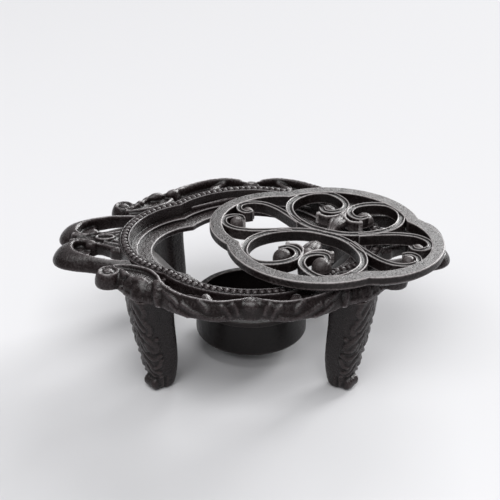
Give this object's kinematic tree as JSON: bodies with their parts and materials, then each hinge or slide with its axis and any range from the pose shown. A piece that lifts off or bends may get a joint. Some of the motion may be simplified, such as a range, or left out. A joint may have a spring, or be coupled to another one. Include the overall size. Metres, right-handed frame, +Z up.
{
  "type": "teapot warmer",
  "caption": "Low cast-iron teapot warmer: lobed, scroll-edged frame on legs with a hanging candle cup and a loose openwork lid that carries the pot.",
  "frame": {"origin": "on the table, under the middle of the frame", "axes": "+X to the right along the long axis, +Y to the back, +Z up; the front is the long side that faces -Y"},
  "size_m": [0.1524, 0.111, 0.0542],
  "materials": {
    "cast_iron": "brownish black seasoned casting, semi-gloss, fine grain",
    "worn_iron": "greyer matte casting with lighter worn edges",
    "dark_iron": "smooth near-black",
    "steel": "darkened plain steel"
  },
  "bodies": {
    "stand": {"frame": "cast_iron", "leg_front_left": "cast_iron", "leg_front_right": "cast_iron", "leg_back_left": "cast_iron", "leg_back_right": "cast_iron", "leg_stud_front_left": "steel", "leg_stud_front_right": "steel", "leg_stud_back_left": "steel", "leg_stud_back_right": "steel", "candle_cup": "dark_iron", "cup_arm_left": "dark_iron", "cup_arm_right": "dark_iron", "arm_screw_left": "steel", "arm_screw_right": "steel", "cup_rivet_left": "steel", "cup_rivet_right": "steel"},
    "lid": {"lid": "worn_iron"}
  },
  "joints": [
    {"name": "lid_lift", "type": "slide", "parent": "stand", "child": "lid", "axis": [0, 0, 1], "range_m": [0, 0.08]}
  ]
}
